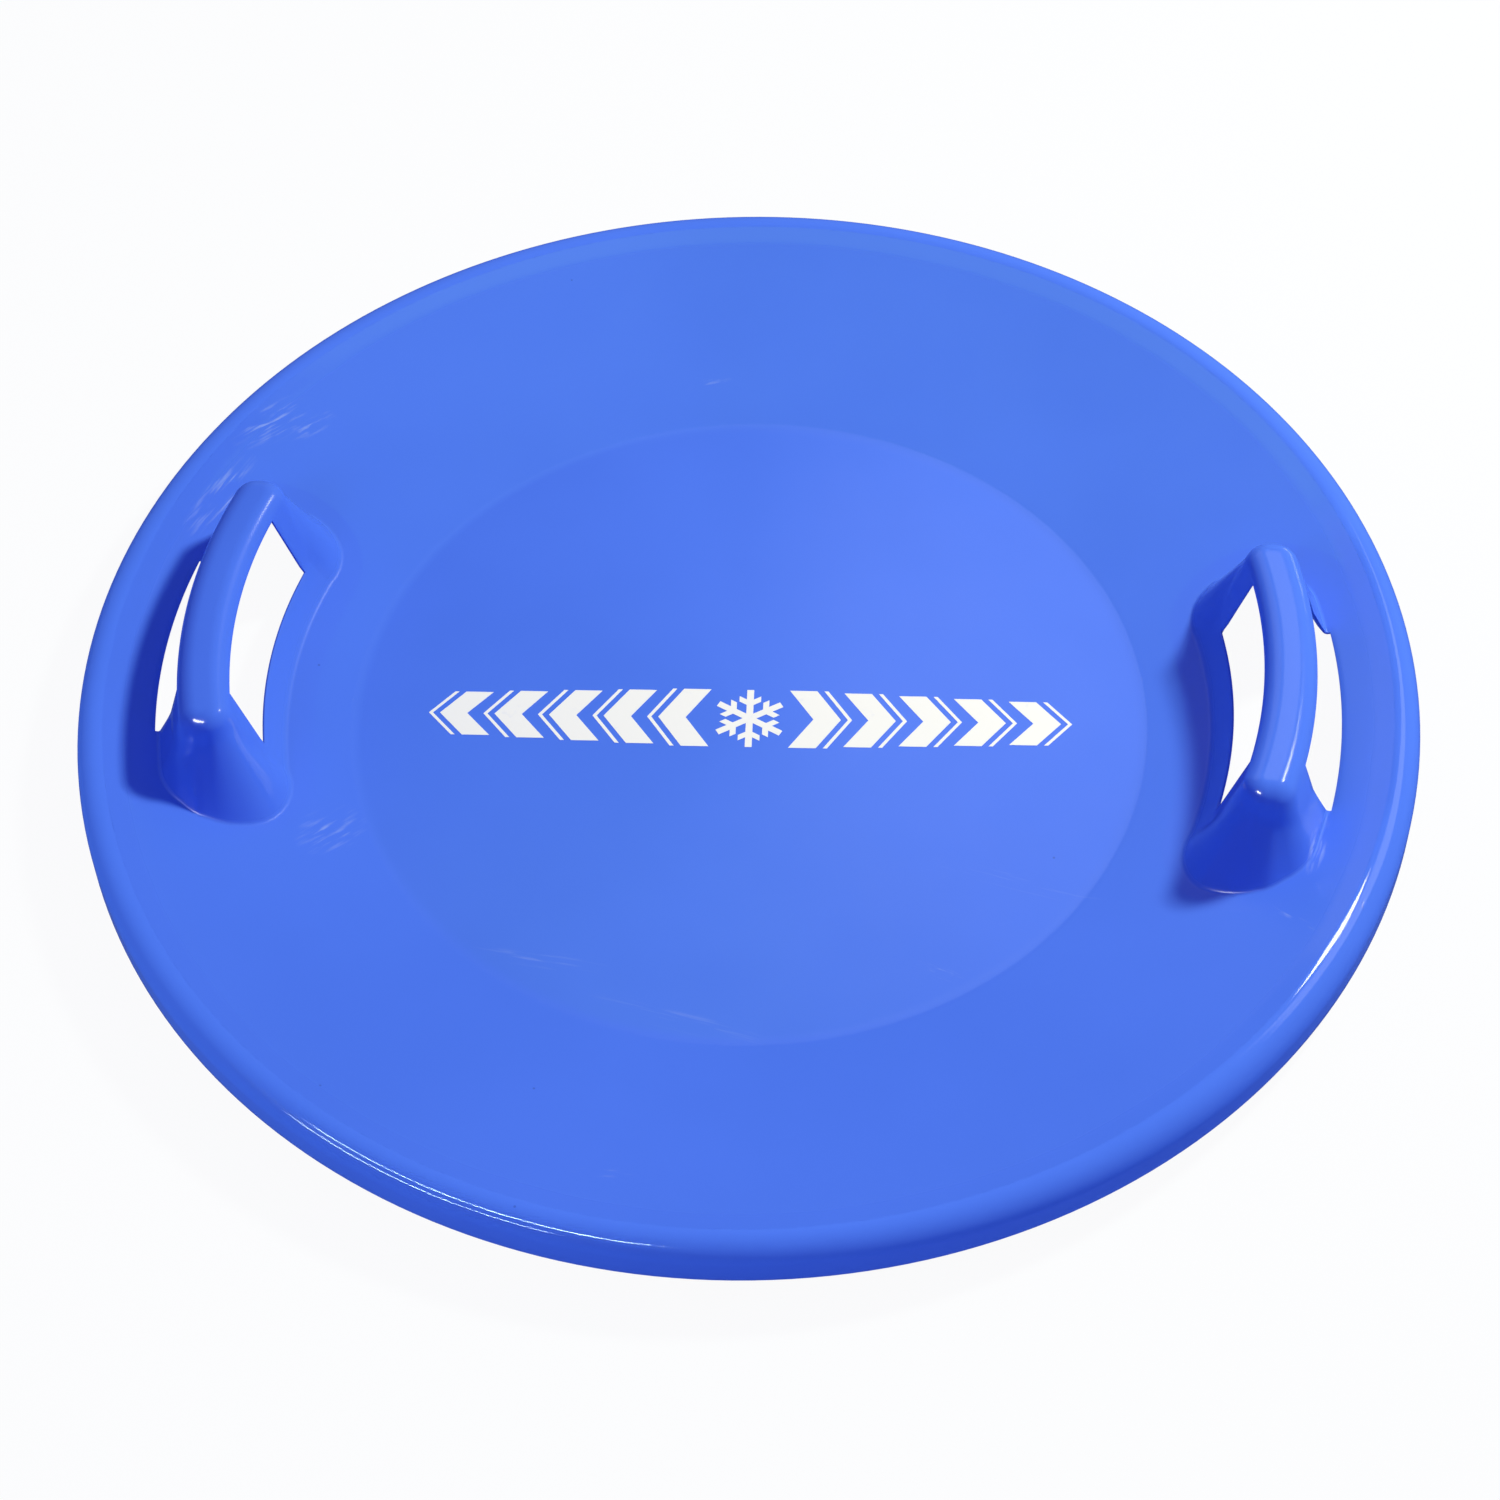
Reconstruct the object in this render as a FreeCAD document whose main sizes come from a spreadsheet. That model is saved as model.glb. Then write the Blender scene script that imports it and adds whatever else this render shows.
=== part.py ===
"""Saucer sled: a moulded round dish with a flat floor, a rolled rim and two hollow handles.

The origin is the centre of the floor's underside, +Z is up and +X runs through the right handle.
"""
import FreeCAD, Part
import math
import os
import Sketcher

doc = FreeCAD.newDocument("saucer_sled")

# Driving sizes in millimetres and degrees, heights measured from the underside of the floor
SIZES = {
    # Dish: the slope width runs from the crease at the floor's edge to the outside of the rim, and the
    # sweep is the radius of the ball that the side wall is part of
    "sled_radius": 325.0,
    "slope_width": 132.0,
    "wall": 3.0,
    "sweep_radius": 938.0,
    "roll_radius": 10.0,
    "skirt_drop": 11.5,
    # Handle, with the plan sizes of its hump taken at the lower edge of the grip
    "grip_inset": 65.2,
    "grip_width": 25.9,
    "grip_reach": 80.5,
    "grip_corner": 11.5,
    "grip_height": 60.0,
    "grip_depth": 8.0,
    "grip_round": 10.0,
    "handle_draft": 17.0,
    # Foot of a handle: its draft, how far it spreads from the grip's outline at the sides, the corners
    # and the ends by the height of the floor's underside, and the height where it has run into the hump
    "foot_draft": 45.0,
    "foot_spread": 31.7,
    "foot_corner_spread": 31.5,
    "foot_end_spread": 44.8,
    "foot_height": 39.0,
    # Hand slot under the grip
    "lip_height": 23.5,
    "outer_gap": 16.2,
    "slot_reach": 55.0,
    "slot_corner": 2.5,
    # Distance from the grip's outline out to the seam where a handle meets the side wall, and from
    # the sled's axis to the centre of the seam's arcs
    "seam_offset": 29.5,
    "seam_centre": 20.0,
    # How far helper forms and cuts run past what they shape
    "overrun": 10.0,
}

sheet = doc.addObject("Spreadsheet::Sheet", "sizes")
for row, (alias, number) in enumerate(SIZES.items(), start=1):
    sheet.set("A%d" % row, alias)
    sheet.set("B%d" % row, str(number))
    sheet.setAlias("B%d" % row, alias)
doc.recompute()

# Largest distance at which an edge counts as lying at a height
TOUCH = 0.001


def value(expression):
    return float(sheet.evalExpression(expression))


# Section of the dish: the top of the side wall is part of a ball that stands on the sled's axis, from
# the edge of the floor to where it meets the roll of the rim. Its underside is one wall lower.
WALL = "sizes.wall"
FLOOR_RADIUS = "(sizes.sled_radius - sizes.slope_width)"
SWEEP = "sizes.sweep_radius"
SWEEP_Z = f"(sizes.wall + sqrt({SWEEP} ^ 2 - {FLOOR_RADIUS} ^ 2))"
UNDER_SWEEP = f"({SWEEP} + sizes.wall)"
UNDER_CREASE = f"sqrt({UNDER_SWEEP} ^ 2 - {SWEEP_Z} ^ 2)"
ROLL_X = "(sizes.sled_radius - sizes.roll_radius)"
ROLL_REACH = f"({SWEEP} + sizes.roll_radius)"
ROLL_FALL = f"sqrt({ROLL_REACH} ^ 2 - {ROLL_X} ^ 2)"
ROLL_Z = f"({SWEEP_Z} - {ROLL_FALL})"
ROLL_START = f"({ROLL_X} * {SWEEP} / {ROLL_REACH})"
ROLL_START_Z = f"({SWEEP_Z} - {ROLL_FALL} * {SWEEP} / {ROLL_REACH})"
UNDER_ROLL = f"({ROLL_X} * {UNDER_SWEEP} / {ROLL_REACH})"
UNDER_ROLL_Z = f"({SWEEP_Z} - {ROLL_FALL} * {UNDER_SWEEP} / {ROLL_REACH})"
SKIRT_Z = f"({ROLL_Z} - sizes.skirt_drop)"
SKIRT_INSIDE = "(sizes.sled_radius - sizes.wall)"

# Handle: a hump with equal draft all round, narrower the higher it is cut, on a wider foot
GRIP_TOP = "(sizes.grip_height + sizes.grip_depth)"
GRIP_INNER = "(sizes.sled_radius - sizes.grip_inset - sizes.grip_width / 2)"
GRIP_OUTER = "(sizes.sled_radius - sizes.grip_inset + sizes.grip_width / 2)"
LIP_RADIUS = f"({GRIP_INNER} - (sizes.grip_height - sizes.lip_height) * tan(sizes.handle_draft))"
SLOT_RADIUS = f"({GRIP_OUTER} + sizes.outer_gap)"


def origin_plane(body, role):
    return [feature for feature in body.Origin.OriginFeatures if feature.Role == role][0]


def arc_between(start, end, radius, turn):
    """Minor arc from start to end that turns left (+1) or right (-1)."""
    chord = end - start
    rise = math.sqrt(max(radius ** 2 - (chord.Length / 2) ** 2, 0))
    leftward = FreeCAD.Vector(-chord.y, chord.x, 0).normalize()
    centre = (start + end) / 2 + leftward * rise * turn
    first, last = (start, end) if turn > 0 else (end, start)
    first_angle = math.atan2(first.y - centre.y, first.x - centre.x)
    last_angle = math.atan2(last.y - centre.y, last.x - centre.x)
    if last_angle < first_angle:
        last_angle += 2 * math.pi
    circle = Part.Circle(centre, FreeCAD.Vector(0, 0, 1), radius)
    return Part.ArcOfCircle(circle, first_angle, last_angle)


def bind_constraint(sketch, constraint, expression):
    index = sketch.addConstraint(constraint)
    sketch.setExpression("Constraints[%d]" % index, expression)


def add_outline(sketch, corners):
    """Closed outline. A corner is (x, y) as expressions and, where an arc leaves it, its (radius, turn)."""
    points = [FreeCAD.Vector(value(corner[0]), value(corner[1]), 0) for corner in corners]
    starts = []
    ends = []
    for index, corner in enumerate(corners):
        start = points[index]
        end = points[(index + 1) % len(points)]
        if len(corner) == 2:
            edge = sketch.addGeometry(Part.LineSegment(start, end))
            backwards = False
        else:
            radius, turn = corner[2]
            edge = sketch.addGeometry(arc_between(start, end, value(radius), turn))
            backwards = turn < 0
            bind_constraint(sketch, Sketcher.Constraint("Radius", edge, value(radius)), radius)
        starts.append((edge, 2 if backwards else 1))
        ends.append((edge, 1 if backwards else 2))
    for index, corner in enumerate(corners):
        sketch.addConstraint(Sketcher.Constraint("Coincident", *ends[index - 1], *starts[index]))
        for kind, axis, expression in (("DistanceX", -2, corner[0]), ("DistanceY", -1, corner[1])):
            if expression == "0":
                sketch.addConstraint(Sketcher.Constraint("PointOnObject", *starts[index], axis))
            else:
                distance = Sketcher.Constraint(kind, -1, 1, *starts[index], value(expression))
                bind_constraint(sketch, distance, expression)


def sketch_on(body, name, role, corners, height="0"):
    sketch = body.newObject("Sketcher::SketchObject", name)
    sketch.AttachmentSupport = [(origin_plane(body, role), "")]
    sketch.MapMode = "FlatFace"
    sketch.setExpression("AttachmentOffset.Base.z", height)
    add_outline(sketch, corners)
    doc.recompute()
    return sketch


def turned(body, name, corners, half_angle="180"):
    """Upright section turned round the sled's axis, as far to each side as the half angle."""
    section = sketch_on(body, name + "_section", "XZ_Plane", corners)
    feature = body.newObject("PartDesign::Revolution", name)
    feature.Profile = section
    feature.ReferenceAxis = (section, ["V_Axis"])
    feature.Midplane = True
    feature.setExpression("Angle", f"2 * {half_angle}")
    doc.recompute()
    return feature


def upright_block(name, corners, base, top):
    """Body of a plan outline that stands from a base height to a top height."""
    body = doc.addObject("PartDesign::Body", name)
    outline = sketch_on(body, name + "_outline", "XY_Plane", corners, base)
    feature = body.newObject("PartDesign::Pad", name + "_pad")
    feature.Profile = outline
    feature.setExpression("Length", f"{top} - {base}")
    doc.recompute()
    return body


def combined(kind, name, base, tool):
    feature = doc.addObject(kind, name)
    feature.Base = base
    feature.Tool = tool
    doc.recompute()
    return feature


def curved_outline(inner, outer, reach, near_corner, far_corner, centre="0"):
    """Plan outline between two arcs and two straight ends, with rounded corners.

    Both arcs have their middle on the X axis, where they are split, and the same centre on it.
    """
    near_arc = f"({inner} - {centre})"
    near_turn = f"({near_arc} + {near_corner})"
    near_y = f"({reach} - {near_corner})"
    near_x = f"sqrt({near_turn} ^ 2 - {near_y} ^ 2)"
    far_arc = f"({outer} - {centre})"
    far_turn = f"({far_arc} - {far_corner})"
    far_y = f"({reach} - {far_corner})"
    far_x = f"sqrt({far_turn} ^ 2 - {far_y} ^ 2)"
    near_end_x = f"({centre} + {near_x} * {near_arc} / {near_turn})"
    near_end_y = f"({near_y} * {near_arc} / {near_turn})"
    far_end_x = f"({centre} + {far_x} * {far_arc} / {far_turn})"
    far_end_y = f"({far_y} * {far_arc} / {far_turn})"
    front_near = [(f"({centre} + {near_x})", f"-{reach}")]
    rear_near = [(near_end_x, near_end_y, (near_arc, -1))]
    if near_corner != "0":
        front_near.insert(0, (near_end_x, f"-{near_end_y}", (near_corner, 1)))
        rear_near.insert(0, (f"({centre} + {near_x})", reach, (near_corner, 1)))
    return [
        (inner, "0", (near_arc, -1)),
        *front_near,
        (f"({centre} + {far_x})", f"-{reach}", (far_corner, 1)),
        (far_end_x, f"-{far_end_y}", (far_arc, 1)),
        (outer, "0", (far_arc, 1)),
        (far_end_x, far_end_y, (far_corner, 1)),
        (f"({centre} + {far_x})", reach),
        *rear_near,
    ]


def widened(side, corner, end):
    """Inner radius, outer radius, reach and corner radius of a wider outline than the grip's."""
    return (
        f"({GRIP_INNER} - {side})",
        f"({GRIP_OUTER} + {side})",
        f"(sizes.grip_reach + {end})",
        f"(sizes.grip_corner + {corner})",
    )


def hump_outline(height, inset):
    """Plan outline of the hump at a height, drawn in by an inset."""
    spread = f"((sizes.grip_height - {height}) * tan(sizes.handle_draft) - {inset})"
    inner, outer, reach, corner = widened(spread, spread, spread)
    return curved_outline(inner, outer, reach, corner, corner)


def foot_outline(height, inset):
    """Plan outline of the foot at a height, drawn in by an inset."""
    inward = f"({height} * tan(sizes.foot_draft) + {inset})"
    side = f"(sizes.foot_spread - {inward})"
    corner_side = f"(sizes.foot_corner_spread - {inward})"
    end = f"(sizes.foot_end_spread - {inward})"
    inner, outer, reach, corner = widened(side, corner_side, end)
    return curved_outline(inner, outer, reach, corner, corner)


# The seam between a handle and the side wall runs round the foot
SEAM = "sizes.seam_offset"
SEAM_INNER, SEAM_OUTER, SEAM_REACH, SEAM_CORNER = widened(SEAM, SEAM, SEAM)
FORM_HALF_ANGLE = f"asin(({SEAM_REACH} + sizes.overrun) / {SEAM_INNER})"


def top_edges(shape, height):
    """Names of the edges round the flat top of a hump."""
    names = []
    for number, edge in enumerate(shape.Edges, start=1):
        box = edge.BoundBox
        if abs(box.ZMin - height) < TOUCH and abs(box.ZMax - height) < TOUCH:
            names.append("Edge%d" % number)
    return names


def drafted(body, name, outline, draft, wall, top):
    """Block that narrows upwards by its draft to a top height, with sides one wall inside its outline."""
    inset = f"({wall} / cos({draft}))"
    base = sketch_on(body, name + "_base", "XY_Plane", outline("0", inset))
    crown = sketch_on(body, name + "_crown", "XY_Plane", outline(top, inset), top)
    block = body.newObject("PartDesign::AdditiveLoft", name)
    block.Profile = base
    block.Sections = [crown]
    block.Ruled = True
    doc.recompute()
    return block


def handle_form(name, dish_section, wall):
    """Solid stretch of dish with a footed hump on it, rounded at the grip, one wall inside the handle."""
    top = f"({GRIP_TOP} - {wall})"
    body = doc.addObject("PartDesign::Body", name)
    turned(body, name + "_dish", dish_section, FORM_HALF_ANGLE)
    foot_top = f"(sizes.foot_height - {wall} / 2)"
    drafted(body, name + "_foot", foot_outline, "sizes.foot_draft", wall, foot_top)
    hump = drafted(body, name + "_hump", hump_outline, "sizes.handle_draft", wall, top)
    grip = body.newObject("PartDesign::Fillet", name + "_grip")
    grip.Base = (hump, top_edges(hump.Shape, value(top)))
    grip.setExpression("Radius", f"sizes.grip_round - {wall}")
    doc.recompute()
    return body


# The turned pieces of the dish
def seat_floor():
    body = doc.addObject("PartDesign::Body", "seat_floor")
    turned(body, "floor_disc", [
        ("0", "0"),
        (UNDER_CREASE, "0"),
        (FLOOR_RADIUS, WALL),
        ("0", WALL),
    ])
    return body


def rolled_rim():
    body = doc.addObject("PartDesign::Body", "rolled_rim")
    turned(body, "rim_roll", [
        (UNDER_ROLL, UNDER_ROLL_Z, ("(sizes.roll_radius - sizes.wall)", -1)),
        (SKIRT_INSIDE, ROLL_Z),
        (SKIRT_INSIDE, SKIRT_Z),
        ("sizes.sled_radius", SKIRT_Z),
        ("sizes.sled_radius", ROLL_Z, ("sizes.roll_radius", 1)),
        (ROLL_START, ROLL_START_Z),
    ])
    return body


def side_wall(right_seam, left_seam):
    body = doc.addObject("PartDesign::Body", "plain_wall")
    turned(body, "wall_ring", [
        (UNDER_CREASE, "0", (UNDER_SWEEP, 1)),
        (UNDER_ROLL, UNDER_ROLL_Z),
        (ROLL_START, ROLL_START_Z, (SWEEP, -1)),
        (FLOOR_RADIUS, WALL),
    ])
    half_cut = combined("Part::Cut", "wall_with_right_opening", body, right_seam)
    return combined("Part::Cut", "side_wall", half_cut, left_seam)


# A handle is the space between two forms, as in its mould: an outer form and a core one wall inside it
def right_handle(seam):
    outer_form = handle_form(
        "outer_form",
        [
            (FLOOR_RADIUS, "-sizes.overrun"),
            (ROLL_START, "-sizes.overrun"),
            (ROLL_START, ROLL_START_Z, (SWEEP, -1)),
            (FLOOR_RADIUS, WALL),
        ],
        "0")
    core_form = handle_form(
        "core_form",
        [
            (UNDER_CREASE, "-2 * sizes.overrun"),
            (UNDER_ROLL, "-2 * sizes.overrun"),
            (UNDER_ROLL, UNDER_ROLL_Z, (UNDER_SWEEP, -1)),
            (UNDER_CREASE, "0"),
        ],
        WALL)
    shell = combined("Part::Cut", "handle_shell", outer_form, core_form)
    closed = combined("Part::Common", "closed_handle", shell, seam)
    slot = upright_block(
        "hand_slot",
        curved_outline(LIP_RADIUS, SLOT_RADIUS, "sizes.slot_reach", "0", "sizes.slot_corner"),
        "(-sizes.overrun)", "sizes.grip_height")
    return combined("Part::Cut", "right_handle", closed, slot)


def mirrored(name, source):
    feature = doc.addObject("Part::Mirroring", name)
    feature.Source = source
    feature.Normal = FreeCAD.Vector(1, 0, 0)
    doc.recompute()
    return feature


def check(pieces):
    """Stops on any object that failed to build or has no sound shape."""
    for item in doc.Objects:
        if "Invalid" in item.State or "Error" in item.State:
            raise RuntimeError("%s did not build: %s" % (item.Label, item.State))
    for piece in pieces:
        if piece.Shape.isNull() or not piece.Shape.isValid():
            raise RuntimeError("%s has no sound shape" % piece.Label)


right_seam = upright_block(
    "right_seam",
    curved_outline(SEAM_INNER, SEAM_OUTER, SEAM_REACH, SEAM_CORNER, SEAM_CORNER, "sizes.seam_centre"),
    "(-sizes.overrun)", f"({GRIP_TOP} + sizes.overrun)")
left_seam = mirrored("left_seam", right_seam)
handle = right_handle(right_seam)
pieces = [
    seat_floor(),
    side_wall(right_seam, left_seam),
    rolled_rim(),
    handle,
    mirrored("left_handle", handle),
]
check(pieces)
os.makedirs("parts", exist_ok=True)
for piece in pieces:
    piece.Shape.exportStep("parts/%s.step" % piece.Label)
    print(piece.Label, len(piece.Shape.Solids), round(piece.Shape.Volume))
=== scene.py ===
"""Saucer sled of glossy moulded plastic, seen from above its front edge on a white floor."""
import bpy
import math
from collections import Counter
from mathutils import Matrix, Vector


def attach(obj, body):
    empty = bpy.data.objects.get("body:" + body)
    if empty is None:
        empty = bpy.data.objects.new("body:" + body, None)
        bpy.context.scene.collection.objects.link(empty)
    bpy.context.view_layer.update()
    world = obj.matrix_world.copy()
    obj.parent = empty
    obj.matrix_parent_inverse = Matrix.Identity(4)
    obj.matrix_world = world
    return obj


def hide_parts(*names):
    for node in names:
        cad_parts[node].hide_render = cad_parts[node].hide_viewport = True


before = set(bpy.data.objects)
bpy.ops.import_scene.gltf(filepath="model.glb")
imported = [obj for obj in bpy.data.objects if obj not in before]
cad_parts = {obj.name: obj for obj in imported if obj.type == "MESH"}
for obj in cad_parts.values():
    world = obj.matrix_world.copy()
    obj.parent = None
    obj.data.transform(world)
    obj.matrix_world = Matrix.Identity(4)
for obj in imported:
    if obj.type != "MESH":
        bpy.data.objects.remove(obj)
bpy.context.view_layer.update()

# Camera, in pixels of the photograph, metres and degrees
PHOTO_PIXELS = 1500
FOCAL_PIXELS = 3465.4
SENSOR_MM = 36.0
CAMERA_DISTANCE = 1.6686
CAMERA_ELEVATION = 51.68
CAMERA_AZIMUTH = 6.86
CAMERA_ROLL = -1.53
CAMERA_TARGET = Vector((0.0051, -0.0384, 0.0230))

# Metres in a millimetre
MM = 0.001

# Dish and rim, in millimetres
WALL = 3.0
FLOOR_TOP = WALL
SLED_RADIUS = 325.0
SLOPE_WIDTH = 132.0
CREASE_RADIUS = SLED_RADIUS - SLOPE_WIDTH
CREASE_EASE = 3.0
SWEEP = 938.0
SWEEP_Z = FLOOR_TOP + math.sqrt(SWEEP ** 2 - CREASE_RADIUS ** 2)
CREASE_SLOPE = math.asin(CREASE_RADIUS / SWEEP)
ROLL_RADIUS = 10.0
ROLL_X = SLED_RADIUS - ROLL_RADIUS
ROLL_SLOPE = math.asin(ROLL_X / (SWEEP + ROLL_RADIUS))
ROLL_Z = SWEEP_Z - (SWEEP + ROLL_RADIUS) * math.cos(ROLL_SLOPE)
ROLL_START = SWEEP * math.sin(ROLL_SLOPE)
SKIRT_DROP = 11.5

# Handles, in millimetres and degrees
GRIP_INSET = 65.2
GRIP_WIDTH = 25.9
GRIP_INNER = SLED_RADIUS - GRIP_INSET - GRIP_WIDTH / 2
GRIP_OUTER = GRIP_INNER + GRIP_WIDTH
GRIP_REACH = 80.5
GRIP_CORNER = 11.5
GRIP_HEIGHT = 60.0
GRIP_DEPTH = 8.0
GRIP_TOP = GRIP_HEIGHT + GRIP_DEPTH
GRIP_ROUND = 10.0
DRAFT = 17.0
WINDOW_REACH = 55.0
LIP_SHARE = 0.265
FOOT_ROUND = 1.5
HEEL_ROUND = 1.3
SLOT_MARGIN = 0.4
SEAM_OFFSET = 33.0
SECTOR_ANGLE = 28.0
SECTOR_CORNER_SHARE = 0.5
SIDE_GAP = 4.0

# Cut edges, in millimetres and degrees
EDGE_ROUND = 0.4
EDGE_SHARE = 0.4
SHARP_ANGLE = 40.0

# Flare of a handle's foot beyond its draft, in millimetres by its outline's angle from the inner side
FLARE_TURNS = (0, 40, 60, 85, 108, 126, 180)
FRONT_FLARES = (5.2, 10.4, 12.4, 10.5, 8.7, 5.8, 3.1)
REAR_FLARES = (5.2, 8.6, 8.8, 8.4, 5.9, 3.6, 3.1)
FLARE_START_TURNS = (0, 40, 90, 126, 180)
FLARE_START_SHARES = (0.7, 0.05, 0.05, 0.3, 0.5)
FLARE_POWER = 1.25
FLARE_ROUNDS = 40

# White print on the seat, in millimetres and degrees
PRINT_X = 1.0
PRINT_Y = -3.0
PRINT_TURN = 3.5
PRINT_LIFT = 0.1
FLAKE_ARMS = 6
FLAKE_REACH = 18.0
FLAKE_HALF = 1.7
BARB_ANGLE = 60.0
BARB_ROOT = 8.5
BARB_REACH = 4.2
BARB_WIDTH = 3.4
CHEVRONS = 5
CHEVRON_START = 45.0
CHEVRON_PITCH = 27.0
CHEVRON_HEIGHT = 36.0
CHEVRON_LOSS = 2.2
CHEVRON_WIDTH = 13.5
CHEVRON_SWEEP = 12.0
LINE_GAP = 3.5
LINE_WIDTH = 2.0

# Scuffs, partly painted sheen, in millimetres and degrees: middle in plan, heading, half length, half width,
# strength share
SCUFFS_AND_SHEENS = (
    # The first three, beside the left grip, are mostly a painted pale sheen; the last, on the right foot's
    # outer corner, stands for painted glints
    (-262, 148, 48, 26, 12, 0.7),
    (-279, 97, 68, 32, 11, 0.9),
    (-243, 152, 45, 16, 6, 0.6),
    (136, -91, -13, 46, 5, 0.35),
    (104, -146, -20, 14, 4, 0.35),
    (-82, -155, -6, 36, 6, 0.3),
    (-13, -183, -12, 46, 7, 0.3),
    (-36, -282, 1, 16, 3, 0.4),
    (-192, -92, 50, 20, 15, 0.5),
    (-42, 217, 19, 13, 4, 0.3),
    (265, -120, -41, 16, 2, 0.5),
    (276, -77, 76, 18, 5, 1.0),
)
SCRATCH_ALONG = 0.9
SCRATCH_ACROSS = 0.35
SCRATCH_SCALE = 1.6
SCRATCH_DETAIL = 3.0
SCRATCH_SPAN = (0.5, 0.72)
SCRATCH_FADE = 0.5
# Lighter colour of the scuffs: scratches in part, and painted sheen and glints beside the left grip and on
# the right foot's corner
SCRATCH_AND_SHEEN_COLOUR = (0.4, 0.52, 1, 1)
SCRATCH_DULLING = 0.25

# Plastic: colours, patterns in cells per metre, places in millimetres
CLOUD_COLOURS = ((0.069, 0.179, 0.9, 1), (0.075, 0.19, 0.94, 1))
CLOUD_SCALE = 7.0
CLOUD_DETAIL = 4.0
PATTERN_SPAN = (0.3, 0.7)
SPECK_COLOUR = (0.03, 0.08, 0.5, 1)
SPECK_SCALE = 28.0
SPECK_SPAN = (0.012, 0.022)
SPECK_STRENGTH = 0.55
DISH_ROUGHNESS = 0.3
GLOSS_ROUGHNESS = 0.08
GRIP_DULLING = 0.1
GRIP_HEIGHTS = (52.0, 64.0)
RAISED_HEIGHTS = (0.5, 4.0)
HANDLE_RADII = (200.0, 206.0)
RIM_RADII = (300.0, 307.0)
UNEVEN_SCALE = 24.0
UNEVEN_DETAIL = 3.0
UNEVEN_LOW = -0.015
UNEVEN_HIGH = 0.02
RIPPLE_SCALE = 14.0
RIPPLE_DETAIL = 1.0
RIPPLE_DEPTH = 0.2

# Print: colours, patterns in cells per metre, depth in millimetres
PRINT_COLOURS = ((0.98, 0.98, 1, 1), (0.6, 0.68, 0.95, 1))
PRINT_ROUGHNESS = 0.4
WEAR_SCALE = 160.0
WEAR_DETAIL = 4.0
WEAR_SPAN = (0.62, 0.8)
WEAR_STRENGTH = 0.25
GRAIN_SCALE = 500.0
GRAIN_DETAIL = 2.0
GRAIN_DEPTH = 0.05

# Floor, in metres but for its gap under the sled in millimetres, and surroundings
FLOOR_HALF = 12.0
FLOOR_GAP = 0.3
FLOOR_COLOUR = (0.6, 0.7, 0.95, 1)
FLOOR_MIRRORED = (0.06, 0.1, 0.36, 1)
FLOOR_WHITE_SHARE = 0.95
SKY_COLOUR = (0.34, 0.42, 1, 1)
SKY_STRENGTH = 0.35
WHITE = (1, 1, 1, 1)

# Colours of lamps
PLAIN_LIGHT = (1, 1, 1)
WARM_LIGHT = (1, 0.96, 0.62)
BLUE_LIGHT = (0.55, 0.65, 1)
GREENISH_LIGHT = (0.95, 1, 0.55)
COOL_LIGHT = (0.62, 0.92, 1)
GREEN_LIGHT = (0.45, 1, 0.2)

# Places that near lamps face, in metres
RIM_PLACE = Vector((0.2838, -0.1324, 0.0367))
SEAT_RIGHT_PLACE = Vector((0.15, 0, 0.003))
SEAT_FRONT_PLACE = Vector((-0.03, -0.1, 0.003))
GRIP_PLACE = Vector((0.26, 0, 0.068))
GRIP_SIDE_PLACE = Vector((0.26, 0, 0.06))
WALL_PLACE = Vector((0.24, -0.03, 0.015))

# Counts of cells
CORNER_CELLS = 12
BESIDE_CELLS = 4
WINDOW_CELLS = 36
APRON_ROWS = 6
FOOT_ROWS = 5
KNEE_ROWS = 4
SIDE_ROWS = 10
CROWN_ROWS = 10
PATCH_ROWS = 6
SWEEP_CELLS = 62
TURN_CELLS = 240
SEAT_CELLS = 8
EASE_CELLS = 8
ROLL_CELLS = 24
SKIRT_CELLS = 3
EDGE_CELLS = 2
LIP_ROW = APRON_ROWS + 1 + FOOT_ROWS + KNEE_ROWS
SHOULDER_ROW = LIP_ROW + SIDE_ROWS

# Decimals, in millimetres, to which two points count as one
POINT_DECIMALS = 3


def direction(azimuth, elevation):
    """Unit vector towards a compass angle, counted from +X towards +Y, and a height angle, in degrees."""
    flat = math.cos(math.radians(elevation))
    across = math.radians(azimuth)
    return Vector((flat * math.cos(across), flat * math.sin(across), math.sin(math.radians(elevation))))


def add_camera():
    """Camera at the photograph's viewing angle."""
    back = direction(CAMERA_AZIMUTH - 90, CAMERA_ELEVATION)
    level_right = (-back).cross(Vector((0, 0, 1))).normalized()
    level_up = level_right.cross(-back)
    roll = math.radians(CAMERA_ROLL)
    right = math.cos(roll) * level_right + math.sin(roll) * level_up
    up = math.cos(roll) * level_up - math.sin(roll) * level_right
    data = bpy.data.cameras.new("photo_camera")
    data.sensor_width = SENSOR_MM
    data.lens = FOCAL_PIXELS * SENSOR_MM / PHOTO_PIXELS
    camera = bpy.data.objects.new("photo_camera", data)
    camera.matrix_world = Matrix.LocRotScale(
        CAMERA_TARGET + CAMERA_DISTANCE * back, Matrix((right, up, back)).transposed(), None)
    bpy.context.scene.collection.objects.link(camera)
    bpy.context.scene.camera = camera


def add_softbox(name, azimuth, elevation, distance, size, watts, colour=PLAIN_LIGHT, target=CAMERA_TARGET):
    """Area lamp of a width and height that faces a place on the sled."""
    data = bpy.data.lights.new(name, "AREA")
    data.color = colour
    data.shape = "RECTANGLE"
    data.size, data.size_y = size
    data.energy = watts
    lamp = bpy.data.objects.new(name, data)
    aim = direction(azimuth, elevation)
    lamp.location = target + distance * aim
    lamp.rotation_mode = "QUATERNION"
    lamp.rotation_quaternion = aim.to_track_quat("Z", "Y")
    bpy.context.scene.collection.objects.link(lamp)
    return lamp


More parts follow.
